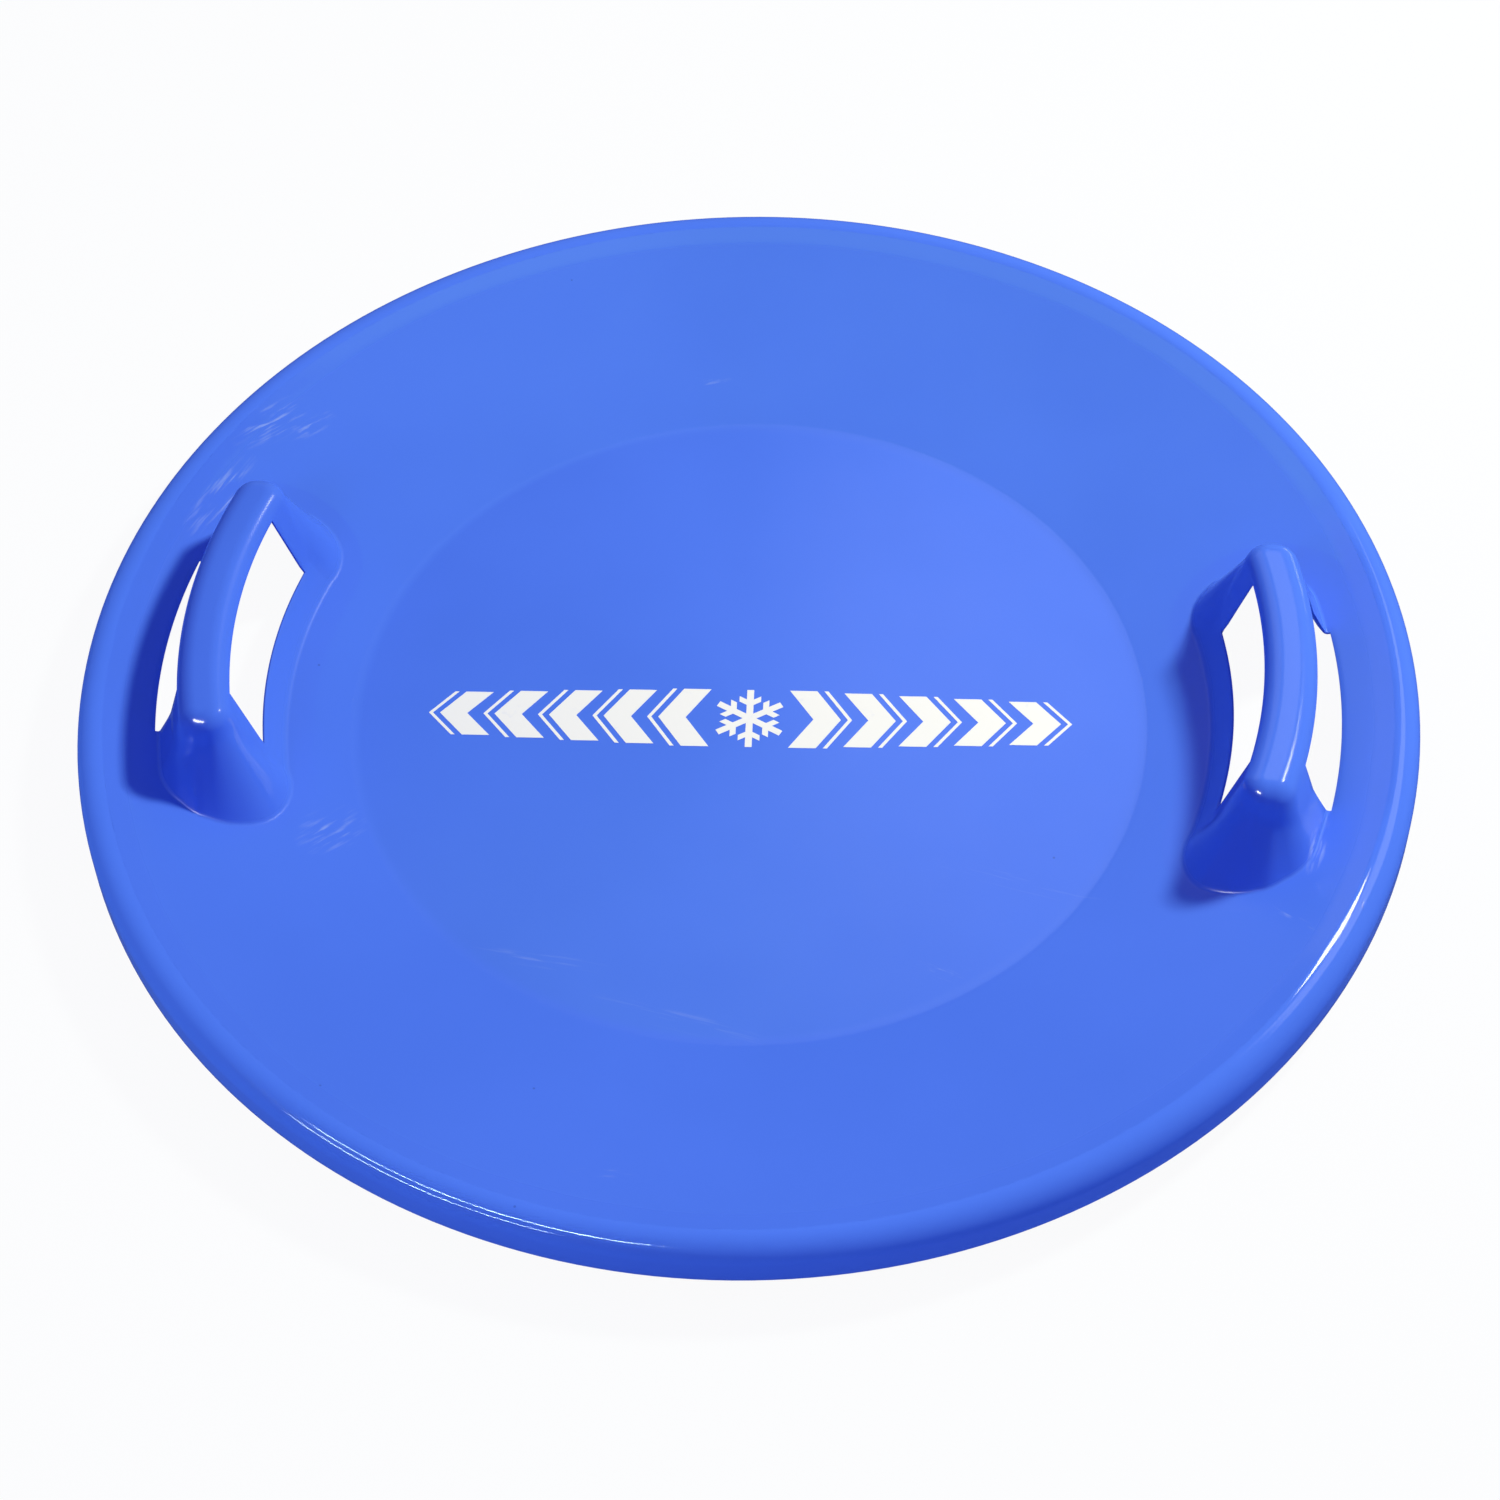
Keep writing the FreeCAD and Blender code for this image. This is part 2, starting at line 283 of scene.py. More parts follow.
def light_only(lamp, pieces):
    """Keeps a lamp's light to a few pieces."""
    receivers = bpy.data.collections.new(lamp.name)
    for piece in pieces:
        receivers.objects.link(piece)
    lamp.light_linking.receiver_collection = receivers


def add_fill(name, **values):
    """Lamp that lights surfaces but shows in no reflection."""
    lamp = add_softbox(name, **values)
    lamp.visible_glossy = False
    return lamp


def add_glint(name, pieces, **values):
    """Lamp that only shows as a highlight on a few pieces."""
    lamp = add_softbox(name, **values)
    lamp.visible_diffuse = False
    lamp.visible_camera = False
    light_only(lamp, pieces)


def seen_as(tree, shading, ray, share, colour):
    """Shows a plain colour over a shading to one kind of ray, by a share."""
    path = tree.nodes.new("ShaderNodeLightPath")
    part = tree.nodes.new("ShaderNodeMath")
    part.operation = "MULTIPLY"
    part.inputs[1].default_value = share
    tree.links.new(path.outputs[ray], part.inputs[0])
    glow = tree.nodes.new("ShaderNodeEmission")
    glow.inputs["Color"].default_value = colour
    mix = tree.nodes.new("ShaderNodeMixShader")
    tree.links.new(part.outputs["Value"], mix.inputs["Fac"])
    tree.links.new(shading, mix.inputs[1])
    tree.links.new(glow.outputs["Emission"], mix.inputs[2])
    return mix.outputs["Shader"]


def add_floor():
    """White floor that keeps a little of the sled's shadow and shows dimly in its gloss."""
    mesh = bpy.data.meshes.new("floor")
    corners = [(-1, -1), (1, -1), (1, 1), (-1, 1)]
    mesh.from_pydata([(x * FLOOR_HALF, y * FLOOR_HALF, 0) for x, y in corners], [], [(0, 1, 2, 3)])
    floor = bpy.data.objects.new("floor", mesh)
    floor.location.z = -FLOOR_GAP * MM
    bpy.context.scene.collection.objects.link(floor)
    material = bpy.data.materials.new("white_floor")
    material.use_nodes = True
    tree = material.node_tree
    tree.nodes.clear()
    diffuse = tree.nodes.new("ShaderNodeBsdfDiffuse")
    diffuse.inputs["Color"].default_value = FLOOR_COLOUR
    output = tree.nodes.new("ShaderNodeOutputMaterial")
    surface = seen_as(tree, diffuse.outputs["BSDF"], "Is Camera Ray", FLOOR_WHITE_SHARE, WHITE)
    surface = seen_as(tree, surface, "Is Glossy Ray", 1, FLOOR_MIRRORED)
    tree.links.new(surface, output.inputs["Surface"])
    mesh.materials.append(material)


def add_world():
    """Soft bluish light from all round, with white behind everything."""
    world = bpy.data.worlds.new("studio")
    bpy.context.scene.world = world
    world.use_nodes = True
    nodes = world.node_tree.nodes
    links = world.node_tree.links
    light = nodes["Background"]
    light.inputs["Color"].default_value = SKY_COLOUR
    light.inputs["Strength"].default_value = SKY_STRENGTH
    seen = nodes.new("ShaderNodeBackground")
    seen.inputs["Color"].default_value = WHITE
    path = nodes.new("ShaderNodeLightPath")
    mix = nodes.new("ShaderNodeMixShader")
    links.new(path.outputs["Is Camera Ray"], mix.inputs["Fac"])
    links.new(light.outputs["Background"], mix.inputs[1])
    links.new(seen.outputs["Background"], mix.inputs[2])
    links.new(mix.outputs["Shader"], nodes["World Output"].inputs["Surface"])


def dish_height(radius):
    """Height of the dish's upper face, with its crease eased."""
    height = FLOOR_TOP
    if radius > CREASE_RADIUS:
        height = SWEEP_Z - math.sqrt(SWEEP ** 2 - radius ** 2)
    inside = CREASE_EASE - abs(radius - CREASE_RADIUS)
    if inside > 0:
        height += math.tan(CREASE_SLOPE) * inside ** 2 / (4 * CREASE_EASE)
    return height


def on_dish(x, y):
    """Point of the dish's upper face at a plan place."""
    return (x, y, dish_height(math.hypot(x, y)))


def between(value, places, amounts):
    """Amount at a value on the line through given places."""
    for low, high, first, last in zip(places, places[1:], amounts, amounts[1:]):
        if value <= high:
            return first + (last - first) * (value - low) / (high - low)
    return amounts[-1]


def spaced(start, end, cells):
    """Even places from start to end, both counted in."""
    return [start + (end - start) * step / cells for step in range(cells + 1)]


class Skin:
    """Points and faces of the upper side of a piece, in millimetres."""

    def __init__(self):
        self.points = []
        self.faces = []
        self.known = {}

    def number(self, place):
        key = tuple(round(part, POINT_DECIMALS) for part in place)
        if key not in self.known:
            self.known[key] = len(self.points)
            self.points.append(place)
        return self.known[key]

    def face(self, *places, mirrored=False):
        numbers = [self.number((-x, y, z) if mirrored else (x, y, z)) for x, y, z in places]
        self.faces.append(numbers[::-1] if mirrored else numbers)

    def strip(self, low, high, mirrored=False):
        """Faces between two rows of points; seen from above, high lies left of the way along the rows."""
        for first, second, third, fourth in zip(low, low[1:], high[1:], high):
            self.face(first, second, third, fourth, mirrored=mirrored)


class Column:
    """Line of points up a handle, known by its plan place at any offset from the grip's outline.

    It lies on the inner or outer side, nearer the front end, -1, or the rear end, 1. It is a share of the
    way round a corner or, where line is given, at that y along the side, eased by a share to the corner.
    """

    def __init__(self, outer, end, corner=0.0, line=None, ease=0.0):
        self.outer = outer
        self.end = end
        self.corner = corner
        self.line = line
        self.ease = ease
        turn = GRIP_OUTER - GRIP_CORNER if outer else GRIP_INNER + GRIP_CORNER
        self.centre_y = GRIP_REACH - GRIP_CORNER
        self.centre_x = math.sqrt(turn ** 2 - self.centre_y ** 2)
        self.corner_angle = math.atan2(self.centre_y, self.centre_x)

    def heading(self):
        start = self.corner_angle if self.outer else math.pi + self.corner_angle
        return start + (math.pi / 2 - start) * self.corner

    def place(self, offset):
        if self.line is None:
            reach = GRIP_CORNER + offset
            x = self.centre_x + reach * math.cos(self.heading())
            return x, self.end * (self.centre_y + reach * math.sin(self.heading()))
        radius = GRIP_OUTER + offset if self.outer else GRIP_INNER - offset
        corner_y = self.end * radius * math.sin(self.corner_angle)
        y = self.line + self.ease * (corner_y - self.line)
        return math.sqrt(radius ** 2 - y ** 2), y

    def turn(self):
        """Angle of the outline here from the inner side, in degrees."""
        if self.line is not None:
            return 180 * self.outer
        x, y = self.place(0)
        around = math.atan2(abs(y), x) + math.pi - self.heading()
        return abs(math.degrees(around))

    def in_window(self):
        return self.line is not None and self.ease == 0

    def rows(self):
        """Points from the seam on the dish up to the flat of the grip."""
        extra = between(self.turn(), FLARE_TURNS, FRONT_FLARES if self.end < 0 else REAR_FLARES)
        start = between(self.turn(), FLARE_START_TURNS, FLARE_START_SHARES)
        foot = between(self.turn(), (0, 180), (FOOT_ROUND, HEEL_ROUND))
        slope = math.tan(math.radians(DRAFT))
        base_height = FLOOR_TOP
        for _ in range(FLARE_ROUNDS):
            base_offset = slope * (GRIP_HEIGHT - base_height) + extra
            base_height = dish_height(math.hypot(*self.place(base_offset)))

        def side(height):
            fallen = (GRIP_HEIGHT - height) / (GRIP_HEIGHT - base_height)
            flared = max(0.0, (fallen - start) / (1 - start))
            return (*self.place(slope * (GRIP_HEIGHT - height) + extra * flared ** FLARE_POWER), height)

        apron = base_offset + foot + SLOT_MARGIN
        points = [on_dish(*self.place(offset)) for offset in spaced(SEAM_OFFSET, apron, APRON_ROWS)]
        foot_start = Vector(on_dish(*self.place(base_offset + foot)))
        foot_bend = Vector(on_dish(*self.place(base_offset)))
        foot_end = Vector(side(base_height + foot))
        for share in spaced(0, 1, FOOT_ROWS):
            low = foot_start.lerp(foot_bend, share)
            points.append(tuple(low.lerp(foot_bend.lerp(foot_end, share), share)))
        knee = base_height + LIP_SHARE * (GRIP_HEIGHT - base_height)
        points += [side(height) for height in spaced(base_height + foot, knee, KNEE_ROWS)[1:]]
        round_centre = GRIP_TOP - GRIP_ROUND
        shoulder = round_centre + GRIP_ROUND * math.sin(math.radians(DRAFT))
        points += [side(height) for height in spaced(knee, shoulder, SIDE_ROWS)[1:]]
        inset = slope * (GRIP_HEIGHT - shoulder) - GRIP_ROUND * math.cos(math.radians(DRAFT))
        for angle in spaced(math.radians(DRAFT), math.pi / 2, CROWN_ROWS)[1:]:
            place = self.place(inset + GRIP_ROUND * math.cos(angle))
            points.append((*place, round_centre + GRIP_ROUND * math.sin(angle)))
        return points

    def border(self):
        """Place on the edge of the wall's sector that this column runs out to."""
        radius = ROLL_START if self.outer else CREASE_RADIUS + CREASE_EASE
        x, y = self.place(SEAM_OFFSET)
        angle = math.atan2(y, x)
        if self.line is None:
            arc_angle = self.end * self.corner_angle
            side_angle = self.end * math.radians(SECTOR_ANGLE)
            turned_share = min(1.0, self.corner / SECTOR_CORNER_SHARE)
            angle = arc_angle + (side_angle - arc_angle) * turned_share
            gap = SIDE_GAP if self.outer else -SIDE_GAP
            middle = (ROLL_START + CREASE_RADIUS + CREASE_EASE) / 2 + gap
            side_share = max(0.0, (self.corner - SECTOR_CORNER_SHARE) / (1 - SECTOR_CORNER_SHARE))
            radius += (middle - radius) * side_share
        return radius * math.cos(angle), radius * math.sin(angle)


def handle_columns():
    """Columns from the front end along the inner side to the rear end, and back along the outer side."""
    inner = [Column(False, -1, corner) for corner in spaced(1, 0, CORNER_CELLS)]
    inner += [Column(False, -1, line=-WINDOW_REACH, ease=ease) for ease in spaced(1, 0, BESIDE_CELLS)[1:-1]]
    inner += [Column(False, -1, line=line) for line in spaced(-WINDOW_REACH, WINDOW_REACH, WINDOW_CELLS)]
    inner += [Column(False, 1, line=WINDOW_REACH, ease=ease) for ease in spaced(0, 1, BESIDE_CELLS)[1:-1]]
    inner += [Column(False, 1, corner) for corner in spaced(0, 1, CORNER_CELLS)]
    outer = [Column(True, column.end, column.corner, column.line, column.ease) for column in reversed(inner)]
    return inner + outer


def moulded(name, skin, seam, node):
    """Gives a skin its wall thickness, rounds its cut edges and lets it stand for a solid."""
    mesh = bpy.data.meshes.new(name)
    mesh.from_pydata([Vector(point) * MM for point in skin.points], [], skin.faces)
    uses = Counter(frozenset(key) for polygon in mesh.polygons for key in polygon.edge_keys)
    weights = mesh.attributes.new("bevel_weight_edge", "FLOAT", "EDGE")
    form = bpy.data.objects.new(name, mesh)
    bpy.context.scene.collection.objects.link(form)
    whole = form.vertex_groups.new(name="whole")
    whole.add(range(len(mesh.vertices)), 1, "REPLACE")
    for edge in mesh.edges:
        if uses[frozenset(edge.vertices)] == 1 and not seam.issuperset(edge.vertices):
            weights.data[edge.index].value = 1
            whole.add(edge.vertices[:], EDGE_SHARE, "REPLACE")
    thickness = form.modifiers.new("thickness", "SOLIDIFY")
    thickness.thickness = WALL * MM
    thickness.offset = -1
    thickness.use_even_offset = True
    thickness.vertex_group = "whole"
    edges = form.modifiers.new("edges", "BEVEL")
    edges.limit_method = "WEIGHT"
    edges.width = EDGE_ROUND * MM
    edges.segments = EDGE_CELLS
    shape = bpy.data.meshes.new_from_object(form.evaluated_get(bpy.context.evaluated_depsgraph_get()))
    form.modifiers.clear()
    form.data = shape
    bpy.data.meshes.remove(mesh)
    shape.name = name
    shape.shade_smooth()
    shape.set_sharp_from_angle(angle=math.radians(SHARP_ANGLE))
    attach(form, "root")
    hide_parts(node)
    return form


def add_handle(name, node, mirrored):
    """Hollow handle with a window on each side of its grip; the inner window stands on a lip."""
    skin = Skin()
    columns = handle_columns()
    lines = [column.rows() for column in columns]
    total = len(columns)
    for number in range(total):
        after = (number + 1) % total
        this_line = lines[number]
        next_line = lines[after]
        window = columns[number].in_window() and columns[after].in_window()
        first_cut = APRON_ROWS if columns[number].outer else LIP_ROW
        for row in range(len(this_line) - 1):
            if window and first_cut <= row < SHOULDER_ROW:
                continue
            corners = (this_line[row], this_line[row + 1], next_line[row + 1], next_line[row])
            skin.face(*corners, mirrored=mirrored)
    crown = [line[-1] for line in lines]
    for number in range(total // 2 - 1):
        corners = (crown[number], crown[-1 - number], crown[-2 - number], crown[number + 1])
        skin.face(*corners, mirrored=mirrored)
    seam = {skin.number((-line[0][0] if mirrored else line[0][0], *line[0][1:])) for line in lines}
    return moulded(name, skin, seam, node)


def shared_row(first, second, share):
    """Row of places on the dish, by a share of the way from one row of plan places to another."""
    return [on_dish(x + (far_x - x) * share, y + (far_y - y) * share)
            for (x, y), (far_x, far_y) in zip(first, second)]


def add_wall():
    """Sloped ring: a patch round each handle's seam, and plain stretches in front and behind."""
    skin = Skin()
    columns = handle_columns()
    columns.append(columns[0])
    seam = [column.place(SEAM_OFFSET) for column in columns]
    border = [column.border() for column in columns]
    shares = spaced(0, 1, PATCH_ROWS)
    for mirrored in (False, True):
        for low, high in zip(shares, shares[1:]):
            skin.strip(shared_row(border, seam, high), shared_row(border, seam, low), mirrored=mirrored)
    side = [math.hypot(*place) for place, column in zip(border, columns)
            if column.line is None and column.corner >= SECTOR_CORNER_SHARE and column.end > 0]
    for start in (SECTOR_ANGLE, 180 + SECTOR_ANGLE):
        end = start + 180 - 2 * SECTOR_ANGLE
        angles = [math.radians(angle) for angle in spaced(start, end, SWEEP_CELLS)]
        rings = [[on_dish(radius * math.cos(angle), radius * math.sin(angle)) for angle in angles]
                 for radius in side]
        for low, high in zip(rings, rings[1:]):
            skin.strip(high, low)
    return moulded("side_wall_skin", skin, set(range(len(skin.points))), "side_wall")


def ring(radius, height):
    """Points round the axis."""
    angles = [2 * math.pi * step / TURN_CELLS for step in range(TURN_CELLS)]
    return [(radius * math.cos(angle), radius * math.sin(angle), height) for angle in angles]


def turned(section):
    """Skin swept round the axis from points (radius, height) that run outwards."""
    skin = Skin()
    rings = [ring(radius, height) for radius, height in section]
    for low, high in zip(rings, rings[1:]):
        skin.strip(high + high[:1], low + low[:1])
    return skin


def add_seat():
    """Flat round floor, up to the far side of its eased crease."""
    edge = CREASE_RADIUS - CREASE_EASE
    radii = spaced(edge / SEAT_CELLS, edge, SEAT_CELLS - 1)
    radii += spaced(edge, CREASE_RADIUS + CREASE_EASE, EASE_CELLS)[1:]
    skin = turned([(radius, dish_height(radius)) for radius in radii])
    skin.face(*ring(radii[0], dish_height(radii[0])))
    return moulded("seat_floor_skin", skin, set(range(len(skin.points))), "seat_floor")


def add_rim():
    """Rolled edge with its short skirt."""
    section = []
    for turn in spaced(math.pi / 2 + ROLL_SLOPE, 0, ROLL_CELLS):
        section.append((ROLL_X + ROLL_RADIUS * math.cos(turn), ROLL_Z + ROLL_RADIUS * math.sin(turn)))
    section += [(SLED_RADIUS, height) for height in spaced(ROLL_Z, ROLL_Z - SKIRT_DROP, SKIRT_CELLS)[1:]]
    skin = turned(section)
    seam = {skin.number(place) for place in ring(*section[0])}
    return moulded("rolled_rim_skin", skin, seam, "rolled_rim")


class Painter:
    """Nodes of one material, worked out from places on the sled in metres."""

    def __init__(self, name):
        self.material = bpy.data.materials.new(name)
        self.material.use_nodes = True
        self.tree = self.material.node_tree
        self.shader = self.tree.nodes["Principled BSDF"]
        self.place = self.tree.nodes.new("ShaderNodeTexCoord").outputs["Object"]

    def give(self, socket, given):
        """Gives a socket a value or another node's output."""
        if isinstance(given, bpy.types.NodeSocket):
            self.tree.links.new(given, socket)
        else:
            socket.default_value = given

    def maths(self, operation, first, second):
        made = self.tree.nodes.new("ShaderNodeMath")
        made.operation = operation
        self.give(made.inputs[0], first)
        self.give(made.inputs[1], second)
        return made.outputs["Value"]

    def multiplied(self, place, factors):
        made = self.tree.nodes.new("ShaderNodeVectorMath")
        made.operation = "MULTIPLY"
        self.give(made.inputs[0], place)
        made.inputs[1].default_value = factors
        return made.outputs["Vector"]

    def length(self, place):
        made = self.tree.nodes.new("ShaderNodeVectorMath")
        made.operation = "LENGTH"
        self.give(made.inputs[0], place)
        return made.outputs["Value"]

    def height(self):
        made = self.tree.nodes.new("ShaderNodeSeparateXYZ")
        self.give(made.inputs["Vector"], self.place)
        return made.outputs["Z"]

    def noise(self, place, scale, detail, seed=0.0):
        made = self.tree.nodes.new("ShaderNodeTexNoise")
        made.noise_dimensions = "4D"
        self.give(made.inputs["Vector"], place)
        made.inputs["W"].default_value = seed
        made.inputs["Scale"].default_value = scale
        made.inputs["Detail"].default_value = detail
        return made.outputs["Fac"]

    def dots(self, place, scale):
        """Distance from the nearest of many scattered dots."""
        made = self.tree.nodes.new("ShaderNodeTexVoronoi")
        self.give(made.inputs["Vector"], place)
        made.inputs["Scale"].default_value = scale
        return made.outputs["Distance"]

    def spread(self, value, span, start, end):
        """Value carried smoothly from a span over to start to end."""
        made = self.tree.nodes.new("ShaderNodeMapRange")
        made.interpolation_type = "SMOOTHSTEP"
        self.give(made.inputs["Value"], value)
        for name, given in zip(("From Min", "From Max", "To Min", "To Max"), (*span, start, end)):
            made.inputs[name].default_value = given
        return made.outputs["Result"]

    def within(self, place, span):
        """Share by which a place lies past a span given in millimetres."""
        return self.spread(place, [edge * MM for edge in span], 0, 1)

    def blend(self, share, first, second):
        made = self.tree.nodes.new("ShaderNodeMix")
        made.data_type = "RGBA"
        self.give(made.inputs["Factor"], share)
        self.give(made.inputs["A"], first)
        self.give(made.inputs["B"], second)
        return made.outputs["Result"]

    def bump(self, height, depth):
        made = self.tree.nodes.new("ShaderNodeBump")
        self.give(made.inputs["Height"], height)
        made.inputs["Distance"].default_value = depth * MM
        self.tree.links.new(made.outputs["Normal"], self.shader.inputs["Normal"])

    def scuffs_and_sheen(self):
        """Sum of patches of fine scratches, some of them standing for painted sheen and glints."""
        total = 0.0
        for seed, (x, y, heading, length, width, strength) in enumerate(SCUFFS_AND_SHEENS):
            mapping = self.tree.nodes.new("ShaderNodeMapping")
            mapping.vector_type = "TEXTURE"
            self.give(mapping.inputs["Vector"], self.place)
            mapping.inputs["Location"].default_value = (x * MM, y * MM, 0)
            mapping.inputs["Rotation"].default_value = (0, 0, math.radians(heading))
            mapping.inputs["Scale"].default_value = (length * MM, width * MM, 1)
            patch = mapping.outputs["Vector"]
            gradient = self.tree.nodes.new("ShaderNodeTexGradient")
            gradient.gradient_type = "QUADRATIC_SPHERE"
            self.give(gradient.inputs["Vector"], patch)
            fade = self.maths("POWER", gradient.outputs["Fac"], SCRATCH_FADE)
            streaks = self.multiplied(patch, (SCRATCH_ALONG, SCRATCH_ACROSS * width, 1))
            grain = self.noise(streaks, SCRATCH_SCALE, SCRATCH_DETAIL, seed)
            lines = self.spread(grain, SCRATCH_SPAN, 0, strength)
            total = self.maths("ADD", self.maths("MULTIPLY", fade, lines), total)
        return total


def moulded_plastic():
    """Blue plastic: a satin dish, a glossier rim and handles, faint clouds, specks, and scuffs that are
    partly painted sheen.
    """
    paint = Painter("moulded_plastic")
    flat = paint.multiplied(paint.place, (1, 1, 0))
    radius = paint.length(flat)
    height = paint.height()
    scuffs_and_sheen = paint.scuffs_and_sheen()

    # Colour
    clouds = paint.spread(paint.noise(paint.place, CLOUD_SCALE, CLOUD_DETAIL), PATTERN_SPAN, 0, 1)
    tint = paint.blend(clouds, *CLOUD_COLOURS)
    specks = paint.spread(paint.dots(flat, SPECK_SCALE), SPECK_SPAN, SPECK_STRENGTH, 0)
    speckled = paint.blend(specks, tint, SPECK_COLOUR)
    # Scuffs lighten the colour: real scratches in part, painted sheen and glints in part
    paint.give(paint.shader.inputs["Base Color"], paint.blend(scuffs_and_sheen, speckled, SCRATCH_AND_SHEEN_COLOUR))

    # Height above the sweep of the dish tells the handles from the dish around them
    fall = paint.maths("SUBTRACT", (SWEEP * MM) ** 2, paint.maths("MULTIPLY", radius, radius))
    sweep = paint.maths("POWER", fall, 0.5)
    above = paint.maths("SUBTRACT", paint.maths("ADD", height, sweep), SWEEP_Z * MM)
    raised = paint.within(above, RAISED_HEIGHTS)
    handles = paint.maths("MULTIPLY", raised, paint.within(radius, HANDLE_RADII))

    # Roughness
    gloss = paint.maths("MAXIMUM", paint.within(radius, RIM_RADII), handles)
    satin = paint.spread(gloss, (0, 1), DISH_ROUGHNESS, GLOSS_ROUGHNESS)
    dulled = paint.maths("MULTIPLY", paint.within(height, GRIP_HEIGHTS), GRIP_DULLING)
    patches = paint.noise(paint.place, UNEVEN_SCALE, UNEVEN_DETAIL)
    uneven = paint.spread(patches, PATTERN_SPAN, UNEVEN_LOW, UNEVEN_HIGH)
    worn = paint.maths("MULTIPLY", scuffs_and_sheen, SCRATCH_DULLING)
    rough = satin
    for part in (dulled, uneven, worn):
        rough = paint.maths("ADD", rough, part)
    paint.give(paint.shader.inputs["Roughness"], rough)

    paint.bump(paint.noise(paint.place, RIPPLE_SCALE, RIPPLE_DETAIL), RIPPLE_DEPTH)
    return paint.material


def white_print():
    """White ink, worn thin in small spots."""
    paint = Painter("white_print")
    thin = paint.spread(paint.noise(paint.place, WEAR_SCALE, WEAR_DETAIL), WEAR_SPAN, 0, WEAR_STRENGTH)
    paint.give(paint.shader.inputs["Base Color"], paint.blend(thin, *PRINT_COLOURS))
    paint.shader.inputs["Roughness"].default_value = PRINT_ROUGHNESS
    paint.bump(paint.noise(paint.place, GRAIN_SCALE, GRAIN_DETAIL), GRAIN_DEPTH)
    return paint.material


def rotated(x, y, turn):
    """Plan place turned round the origin."""
    return x * math.cos(turn) - y * math.sin(turn), x * math.sin(turn) + y * math.cos(turn)


def chevron(tip, height, width, side):
    """Outline of a chevron that points outwards; side is 1 to the right and -1 to the left."""
    half = height / 2
    outline = [
        (tip, 0), (tip - CHEVRON_SWEEP, half), (tip - CHEVRON_SWEEP - width, half),
        (tip - width, 0), (tip - CHEVRON_SWEEP - width, -half), (tip - CHEVRON_SWEEP, -half),
    ]
    return [(side * x, y) for x, y in outline][::side]


def snowflake():
    """Outline of a flake with a pair of barbs on each arm."""
    half_turn = math.pi / FLAKE_ARMS
    root = FLAKE_HALF / math.tan(half_turn)
    out = BARB_REACH * math.cos(math.radians(BARB_ANGLE))
    aside = FLAKE_HALF + BARB_REACH * math.sin(math.radians(BARB_ANGLE))
    side = [
        (BARB_ROOT, FLAKE_HALF), (BARB_ROOT + out, aside), (BARB_ROOT + out + BARB_WIDTH, aside),
        (BARB_ROOT + BARB_WIDTH, FLAKE_HALF), (FLAKE_REACH, FLAKE_HALF),
    ]
    arm = [(root, -FLAKE_HALF)] + [(along, -across) for along, across in side] + side[::-1]
    outline = []
    for number in range(FLAKE_ARMS):
        outline += [rotated(along, across, (2 * number + 1) * half_turn) for along, across in arm]
    return outline


def add_print():
    """Thin raised print: a snowflake between two rows of chevrons that shrink outwards."""
    outlines = [snowflake()]
    for side in (1, -1):
        for number in range(CHEVRONS):
            tip = CHEVRON_START + number * CHEVRON_PITCH
            height = CHEVRON_HEIGHT - number * CHEVRON_LOSS
            outlines.append(chevron(tip, height, CHEVRON_WIDTH, side))
            outlines.append(chevron(tip + LINE_GAP + LINE_WIDTH, height, LINE_WIDTH, side))
    points = []
    faces = []
    for outline in outlines:
        start = len(points)
        count = len(outline)
        placed = [rotated(x, y, math.radians(PRINT_TURN)) for x, y in outline]
        for height in (FLOOR_TOP, FLOOR_TOP + PRINT_LIFT):
            points += [Vector((PRINT_X + x, PRINT_Y + y, height)) * MM for x, y in placed]
        faces.append(list(range(start + count, start + 2 * count)))
        faces.append(list(range(start + count - 1, start - 1, -1)))
        for corner in range(count):
            after = (corner + 1) % count
            faces.append((start + corner, start + after, start + count + after, start + count + corner))
    mesh = bpy.data.meshes.new("seat_print")
    mesh.from_pydata(points, [], faces)
    mesh.materials.append(white_print())
    piece = bpy.data.objects.new("seat_print", mesh)
    bpy.context.scene.collection.objects.link(piece)
    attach(piece, "root")


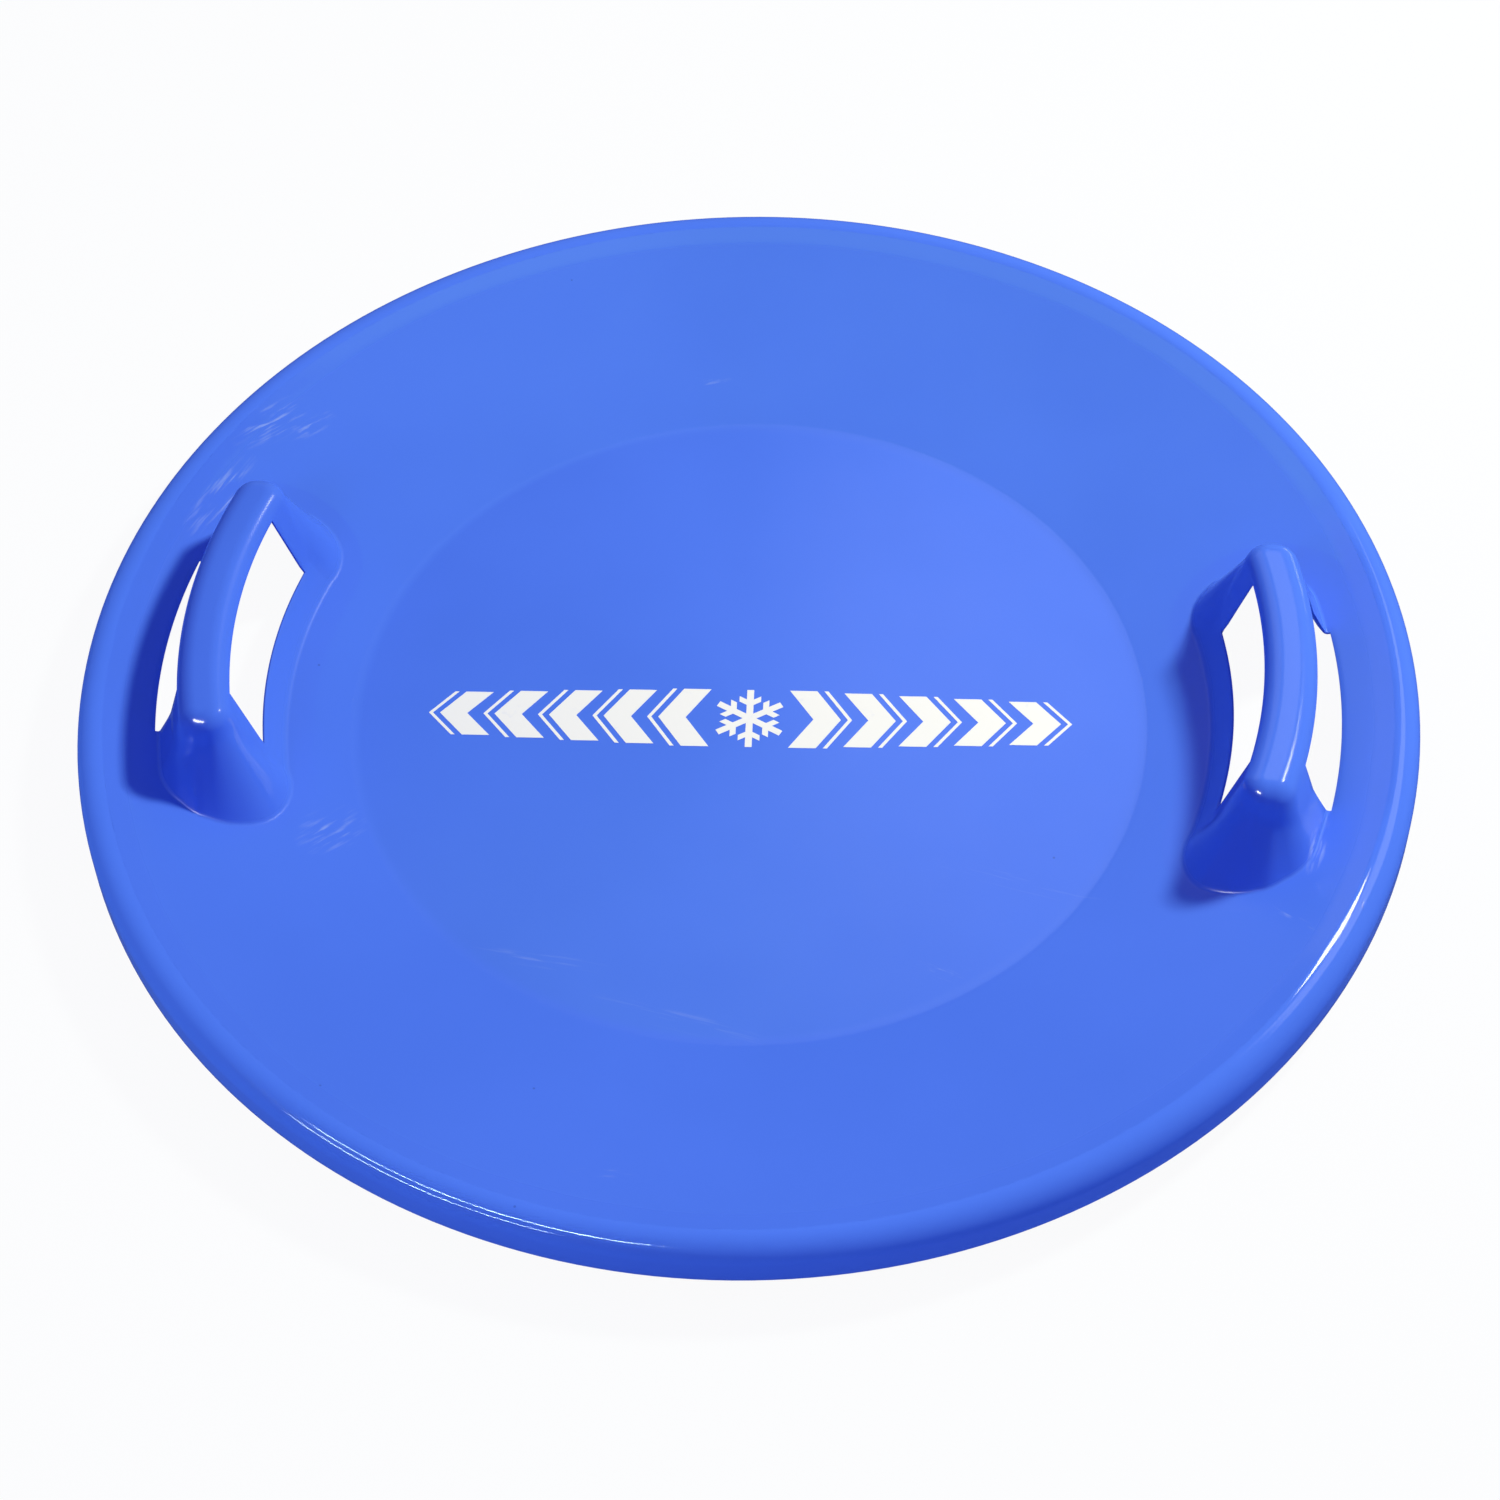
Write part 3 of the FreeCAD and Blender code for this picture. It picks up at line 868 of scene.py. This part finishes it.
def add_lamps():
    """Soft boxes for the whole sled, then lamps that each make one highlight, in metres and degrees."""
    add_fill("key_softbox", azimuth=37, elevation=47.5, distance=2.1,
             size=(0.25, 0.25), watts=49, colour=WARM_LIGHT)
    add_fill("front_fill", azimuth=-125, elevation=40, distance=1.5,
             size=(0.4, 0.4), watts=2.4, colour=BLUE_LIGHT)
    edge_fill = add_fill("edge_fill", azimuth=-150, elevation=25, distance=1.5,
                         size=(0.4, 0.4), watts=6, colour=GREENISH_LIGHT)
    light_only(edge_fill, [rim])

    # Handles
    add_glint("grip_glint", [right_handle, left_handle], azimuth=40, elevation=46.5, distance=1.8,
              size=(0.22, 0.22), watts=4.5)
    add_glint("front_glint", [right_handle, left_handle], azimuth=-128, elevation=43, distance=1.5,
              size=(0.45, 0.15), watts=13)
    add_glint("edge_glint", [right_handle], azimuth=62, elevation=4, distance=1.5,
              size=(0.6, 0.04), watts=0.8, target=GRIP_SIDE_PLACE)
    add_glint("grip_sheen", [right_handle], azimuth=84, elevation=50, distance=1.5,
              size=(0.4, 0.4), watts=0.6, target=GRIP_PLACE)
    add_glint("foot_sheen", [left_handle], azimuth=88.9, elevation=51.3, distance=0.6,
              size=(0.3, 0.3), watts=0.1, target=SEAT_RIGHT_PLACE)

    # Rim
    add_glint("rim_glint", [rim], azimuth=101, elevation=45.5, distance=0.15,
              size=(0.05, 0.034), watts=0.14, target=RIM_PLACE)
    add_glint("rim_sheen", [rim], azimuth=52, elevation=50, distance=2.5, size=(1.2, 0.8), watts=5)
    add_glint("upper_strip", [rim], azimuth=-126, elevation=44, distance=2.5,
              size=(1.8, 0.05), watts=26, colour=COOL_LIGHT)
    add_glint("lower_strip", [rim], azimuth=-130, elevation=22, distance=2.5,
              size=(1.6, 0.05), watts=20, colour=COOL_LIGHT)

    # Dish
    add_glint("seat_sheen", [seat], azimuth=88.9, elevation=51.3, distance=0.6,
              size=(0.35, 0.35), watts=0.45, target=SEAT_RIGHT_PLACE)
    add_glint("seat_glow", [seat, wall], azimuth=108, elevation=63, distance=1.2,
              size=(0.5, 0.5), watts=0.9, colour=GREEN_LIGHT, target=SEAT_FRONT_PLACE)
    add_glint("wall_sheen", [wall, right_handle], azimuth=127, elevation=39, distance=4,
              size=(1.8, 1.8), watts=5, target=WALL_PLACE)


bpy.context.scene.view_settings.view_transform = "Standard"
add_camera()
add_world()
add_floor()
seat = add_seat()
wall = add_wall()
rim = add_rim()
right_handle = add_handle("right_handle_skin", "right_handle", False)
left_handle = add_handle("left_handle_skin", "left_handle", True)
plastic = moulded_plastic()
for moulding in (seat, wall, rim, right_handle, left_handle):
    moulding.data.materials.append(plastic)
add_print()
add_lamps()
